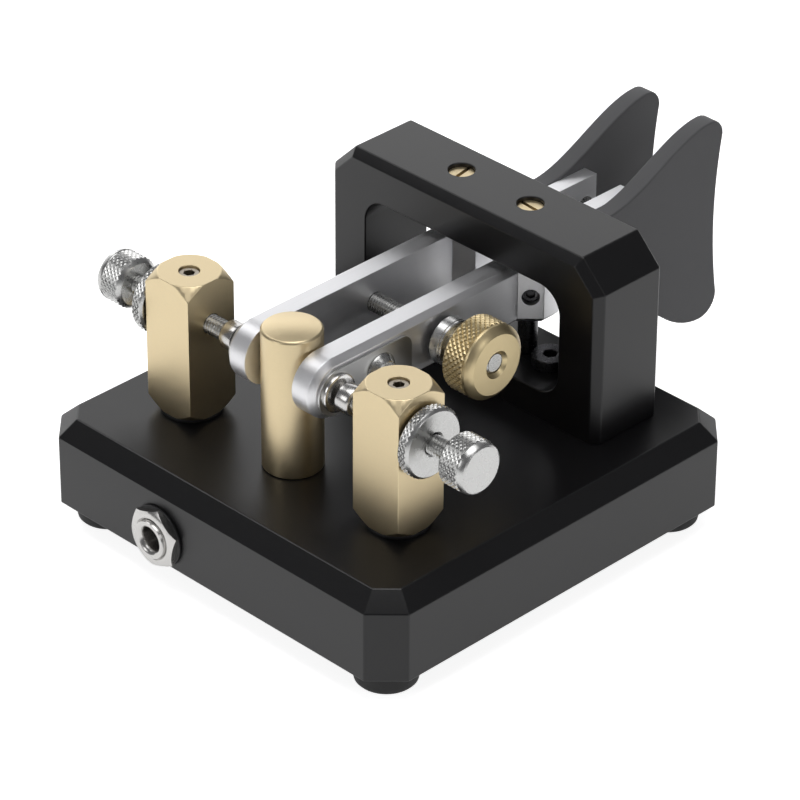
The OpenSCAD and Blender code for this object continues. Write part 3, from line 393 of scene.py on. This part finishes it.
# Levers: bright aluminium with a fine grain along them, chamfered on the outside.
# Each carries a thin steel plate with a silver disc, held by a button head screw.
# A blackened grub screw by the pivot locks its upper seat.
aluminium = finish("brushed aluminium", (0.86, 0.86, 0.875), 1.0, 0.42, (1, 0.04, 1), 6000, 0.05, 0.001, 0.04)
plate_steel = finish(
    "brushed plate steel", (0.58, 0.58, 0.575), 1.0, 0.32, (1, 0.05, 1), 5000, 0.03, 0.001, 0.02)
silver = finish("silver", (0.78, 0.77, 0.755), 1.0, 0.2, even, 700, 0.04, 0.002, 0.04)
contact_line = (0, post_row, 33.75)
disc_profile = [(9.25, 0), (9.25, 3), (9.55, 3), (9.72, 2.92), (9.82, 2.7), (9.85, 2.4), (9.85, 0)]
grub_face, grub_sunk = -9.1, 0.6
for side, hand in hand_of.items():
    body = side + "_arm"
    dress(broken_edges(side + "_lever", side + "_lever_milled", 0.08), body, side + "_lever", aluminium)
    plate = broken_edges(side + "_contact_plate", side + "_contact_plate_cut", 0.06)
    dress(plate, body, side + "_contact_plate", plate_steel)
    grub = broken_edges(side + "_lever_grub", side + "_lever_grub_cut", 0.08)
    bpy.ops.object.mode_set(mode="EDIT")
    bpy.ops.mesh.select_all(action="DESELECT")
    shape = bmesh.from_edit_mesh(grub.data)
    for point in shape.verts:
        point.select_set(hand * point.co.x + point.co.y > grub_face * mm)
    bmesh.update_edit_mesh(grub.data)
    bpy.ops.transform.translate(value=(-hand * grub_sunk * mm, -grub_sunk * mm, 0))
    bpy.ops.object.mode_set(mode="OBJECT")
    dress(grub, body, side + "_lever_grub", black_steel)
    disc = turned(side + "_contact_disc_turned", [(hand * a, r) for a, r in disc_profile], "X", contact_line)
    dress(disc, body, side + "_contact_disc", silver)
    screw = broken_edges(side + "_plate_screw", side + "_plate_screw_headed", 0.15)
    dress(screw, body, side + "_plate_screw", screw_steel)

# Finger paddles: dark grey board, sawn to a wing shape and softened along the edges.
# Two countersunk screws a side hold each to the lever's tail.
board = finish("dark grey board", (0.092, 0.092, 0.096), 0.0, 0.6, even, 3600, 0.06, 0.012, 0.12)
for side in hand_of:
    paddle = broken_edges(side + "_paddle", side + "_paddle_sawn", 0.3)
    dress(paddle, side + "_arm", side + "_paddle", board)
    screws = broken_edges(side + "_paddle_screws", side + "_paddle_screws_headed", 0.06)
    dress(screws, side + "_arm", side + "_paddle_screws", screw_steel)


# Contact screws: threaded rods with a diamond knurled head, a smooth collar and a silver tip.
# A thin knurled nut locks each against the outside of its post.
def knurl(piece, low, high, groove, depth):
    """Rolls a diamond knurl into the wall of a part turned about an X axis, from low to high in millimetres."""
    bpy.ops.object.select_all(action="DESELECT")
    piece.select_set(True)
    bpy.context.view_layer.objects.active = piece
    bpy.ops.object.mode_set(mode="EDIT")

    def choose():
        bpy.ops.mesh.select_mode(type="FACE")
        bpy.ops.mesh.select_all(action="DESELECT")
        shape = bmesh.from_edit_mesh(piece.data)
        for face in shape.faces:
            middle = face.calc_center_median().x
            if low * mm < middle < high * mm and abs(face.normal.x) < 0.3:
                face.select_set(True)
        return shape

    shape = choose()
    for edge in shape.edges:
        edge.seam = len(edge.link_faces) == 2 and all(face.select for face in edge.link_faces)
    bmesh.update_edit_mesh(piece.data)
    bpy.ops.mesh.poke()
    bpy.ops.mesh.select_mode(type="EDGE")
    bpy.ops.mesh.select_all(action="DESELECT")
    shape = bmesh.from_edit_mesh(piece.data)
    for edge in shape.edges:
        if edge.seam:
            edge.select_set(True)
    bmesh.update_edit_mesh(piece.data)
    bpy.ops.mesh.dissolve_edges(use_verts=False)
    choose()
    bmesh.update_edit_mesh(piece.data)
    bpy.ops.mesh.inset(thickness=groove * mm, depth=depth * mm, use_individual=True)
    bpy.ops.mesh.select_mode(type="VERT")
    bpy.ops.object.mode_set(mode="OBJECT")
    bpy.ops.object.shade_smooth_by_angle(angle=math.radians(24))
    return piece


def threaded(name, low, high, radius, pitch, place):
    """Rod with a V thread about an X axis through place: one tooth swept along a helix, then cut to length."""
    root = radius - 0.54 * pitch
    turns = int((high - low) / pitch) + 3
    tooth = [(0, root), (0.3125, radius), (0.4375, radius), (0.75, root), (1, root)]
    line = [Vector((low + (a - 1.5) * pitch, 0, r)) * mm for a, r in tooth]
    bpy.ops.object.select_all(action="DESELECT")
    bpy.ops.mesh.primitive_plane_add(size=mm, location=Vector(place) * mm)
    piece = bpy.context.object
    piece.name = piece.data.name = name
    bpy.ops.object.mode_set(mode="EDIT")
    bpy.ops.mesh.merge(type="CENTER")
    bpy.ops.transform.translate(value=line[0])
    for here, there in zip(line, line[1:]):
        bpy.ops.mesh.extrude_region_move(TRANSFORM_OT_translate={"value": there - here})
    bpy.ops.object.mode_set(mode="OBJECT")
    sweep = piece.modifiers.new("helix", "SCREW")
    sweep.axis = "X"
    sweep.screw_offset = pitch * mm
    sweep.iterations = turns
    sweep.steps = sweep.render_steps = 24
    bpy.ops.object.modifier_apply(modifier="helix")
    bpy.ops.object.transform_apply(location=True, rotation=False, scale=False)
    bpy.ops.object.mode_set(mode="EDIT")
    bpy.ops.mesh.select_all(action="SELECT")
    bpy.ops.mesh.remove_doubles(threshold=weld)
    for end, way in ((low, -1), (high, 1)):
        bpy.ops.mesh.select_all(action="SELECT")
        bpy.ops.mesh.bisect(
            plane_co=((place[0] + end) * mm, 0, 0), plane_no=(way, 0, 0),
            use_fill=True, clear_outer=True, threshold=fine_weld)
    bpy.ops.mesh.select_all(action="SELECT")
    bpy.ops.mesh.normals_make_consistent(inside=False)
    bpy.ops.object.mode_set(mode="OBJECT")
    bpy.ops.object.shade_smooth_by_angle(angle=math.radians(30))
    return piece


knurl_steel = finish("nickel plated knurl", (0.58, 0.58, 0.57), 1.0, 0.28, even, 800, 0.05, 0.002, 0.04)
rod_radius, rod_pitch = 1.5, 0.5
head_start, head_step, head_columns = 32.85, 0.82, 30
head_profile = [
    (32.3, 0), (32.3, 3.3), (32.4, 3.48), *[(head_start + head_step * k, 3.87) for k in range(5)], (36.2, 3.9),
    (36.3, 4), (36.75, 3.9), (37.15, 3.65), (37.3, 3.4), (37.3, 0)]
collar_profile = [
    (10.75, 1.5), (10.75, 2.1), (10.85, 2.2), (12.8, 2.2), (13.1, 2), (13.15, 1.9), (13.15, 1.5), (10.75, 1.5)]
tip_profile = [(10.55, 0), (10.55, 1.35), (10.59, 1.54), (10.67, 1.6), (10.67, 0.9), (12.25, 0.9), (12.25, 0)]
lock_start, lock_step, lock_columns = 26.4, 0.72, 40
lock_profile = [
    (26.05, 1.58), (26.05, 4.9), (26.3, 5.25), *[(lock_start + lock_step * k, 5.3) for k in range(3)],
    (27.94, 5.25), (28.2, 4.95), (28.2, 1.9), (27.95, 1.58), (26.05, 1.58)]
for side, hand in hand_of.items():
    ends = sorted((hand * 10.83, hand * 32.8))
    rod = threaded(side + "_rod", *ends, rod_radius, rod_pitch, contact_line)
    head = turned(side + "_head", [(hand * a, r) for a, r in head_profile], "X", contact_line, head_columns)
    band = sorted((hand * head_start, hand * 36.13))
    knurl(head, *band, 0.17, 0.16)
    screw = joined([head, rod], side + "_contact_screw_cut")
    dress(screw, side + "_screw", side + "_contact_screw", knurl_steel)
    collar_line = [(hand * a, r) for a, r in collar_profile]
    collar = turned(side + "_contact_collar_turned", collar_line, "X", contact_line)
    dress(collar, side + "_screw", side + "_contact_collar", nickel)
    tip = turned(side + "_contact_tip_turned", [(hand * a, r) for a, r in tip_profile], "X", contact_line)
    dress(tip, side + "_tip", side + "_contact_tip", silver)
    lock_line = [(hand * a, r) for a, r in lock_profile]
    lock = turned(side + "_lock_nut_knurled", lock_line, "X", contact_line, lock_columns)
    band = sorted((hand * lock_start, hand * 27.84))
    knurl(lock, *band, 0.15, 0.14)
    dress(lock, side + "_lock", side + "_lock_nut", knurl_steel)

# Tension: a threaded rod from the right lever goes through the left one to a brass knob.
# The knob pushes a stepped steel cup against a short spring, which draws the two levers together.
knob_brass = satin_brass("knob brass", (0.67, 0.55, 0.325))
cup_steel = finish("turned steel", (0.64, 0.64, 0.63), 1.0, 0.26, even, 800, 0.05, 0.002, 0.04)
tension_line = (0, -2, 33.75)
rod = threaded("tension_rod_threaded", -19.2, 8.6, rod_radius, rod_pitch, tension_line)
dress(rod, "right_arm", "tension_rod", screw_steel)
cup_profile = [
    (9.6, 3.1), (9.6, 3.45), (9.9, 3.7), (11.35, 3.7), (11.45, 3.6), (11.6, 3.6), (11.7, 3.7), (11.85, 3.7),
    (12, 3.55), (12, 2.5), (13.8, 2.5), (14, 2.35), (14, 1.58), (11.5, 1.58), (11.5, 3.1), (9.6, 3.1)]
cup = turned("spring_cup_turned", [(-a, r) for a, r in cup_profile], "X", tension_line)
dress(cup, "cup", "spring_cup", cup_steel)
knob_start, knob_step, knob_columns = 14.5, 0.93, 38
knob_profile = [
    (14.08, 1.58), (14.08, 5.1), (14.3, 5.5), *[(knob_start + knob_step * k, 5.68) for k in range(5)],
    (18.34, 5.75), (18.45, 5.85), (18.75, 5.78), (19.2, 5.4), (19.5, 5.0), (19.68, 4.7), (19.68, 2.15),
    (19.3, 1.72), (19.2, 1.58), (14.08, 1.58)]
knob = turned("tension_knob_knurled", [(-a, r) for a, r in knob_profile], "X", tension_line, knob_columns)
knurl(knob, -18.22, -knob_start, 0.2, 0.19)
dress(knob, "knob", "tension_knob", knob_brass)

# The spring is wound open from round wire, and sits on the cup's floor.
# Its other end stays 0.4 mm off the left lever, so that the coil is clear of it when a lever swings.
wire_radius, coil_radius, coil_turns, coil_length = 0.2, 2.25, 2.5, 1.85
cup_floor = -11.25
bpy.ops.object.select_all(action="DESELECT")
bpy.ops.mesh.primitive_circle_add(
    vertices=12, radius=wire_radius * mm, fill_type="NOTHING", location=Vector(tension_line) * mm,
    rotation=(math.pi / 2, 0, 0))
spring = bpy.context.object
spring.name = spring.data.name = "tension_spring_wound"
bpy.ops.object.transform_apply(location=False, rotation=True, scale=False)
bpy.ops.object.mode_set(mode="EDIT")
bpy.ops.mesh.select_all(action="SELECT")
bpy.ops.transform.translate(value=(cup_floor * mm, 0, coil_radius * mm))
bpy.ops.object.mode_set(mode="OBJECT")
coil = spring.modifiers.new("coil", "SCREW")
coil.axis = "X"
coil.angle = 2 * math.pi * coil_turns
coil.screw_offset = coil_length * mm
coil.steps = coil.render_steps = 80
bpy.ops.object.modifier_apply(modifier="coil")
bpy.ops.object.transform_apply(location=True, rotation=False, scale=False)
bpy.ops.object.mode_set(mode="EDIT")
bpy.ops.mesh.select_all(action="DESELECT")
bpy.ops.mesh.select_mode(type="VERT")
bpy.ops.mesh.select_non_manifold()
bpy.ops.mesh.edge_face_add()
bpy.ops.mesh.select_all(action="SELECT")
bpy.ops.mesh.normals_make_consistent(inside=False)
bpy.ops.object.mode_set(mode="OBJECT")
bpy.ops.object.shade_smooth_by_angle(angle=math.radians(40))
dress(spring, "cup", "tension_spring", screw_steel)
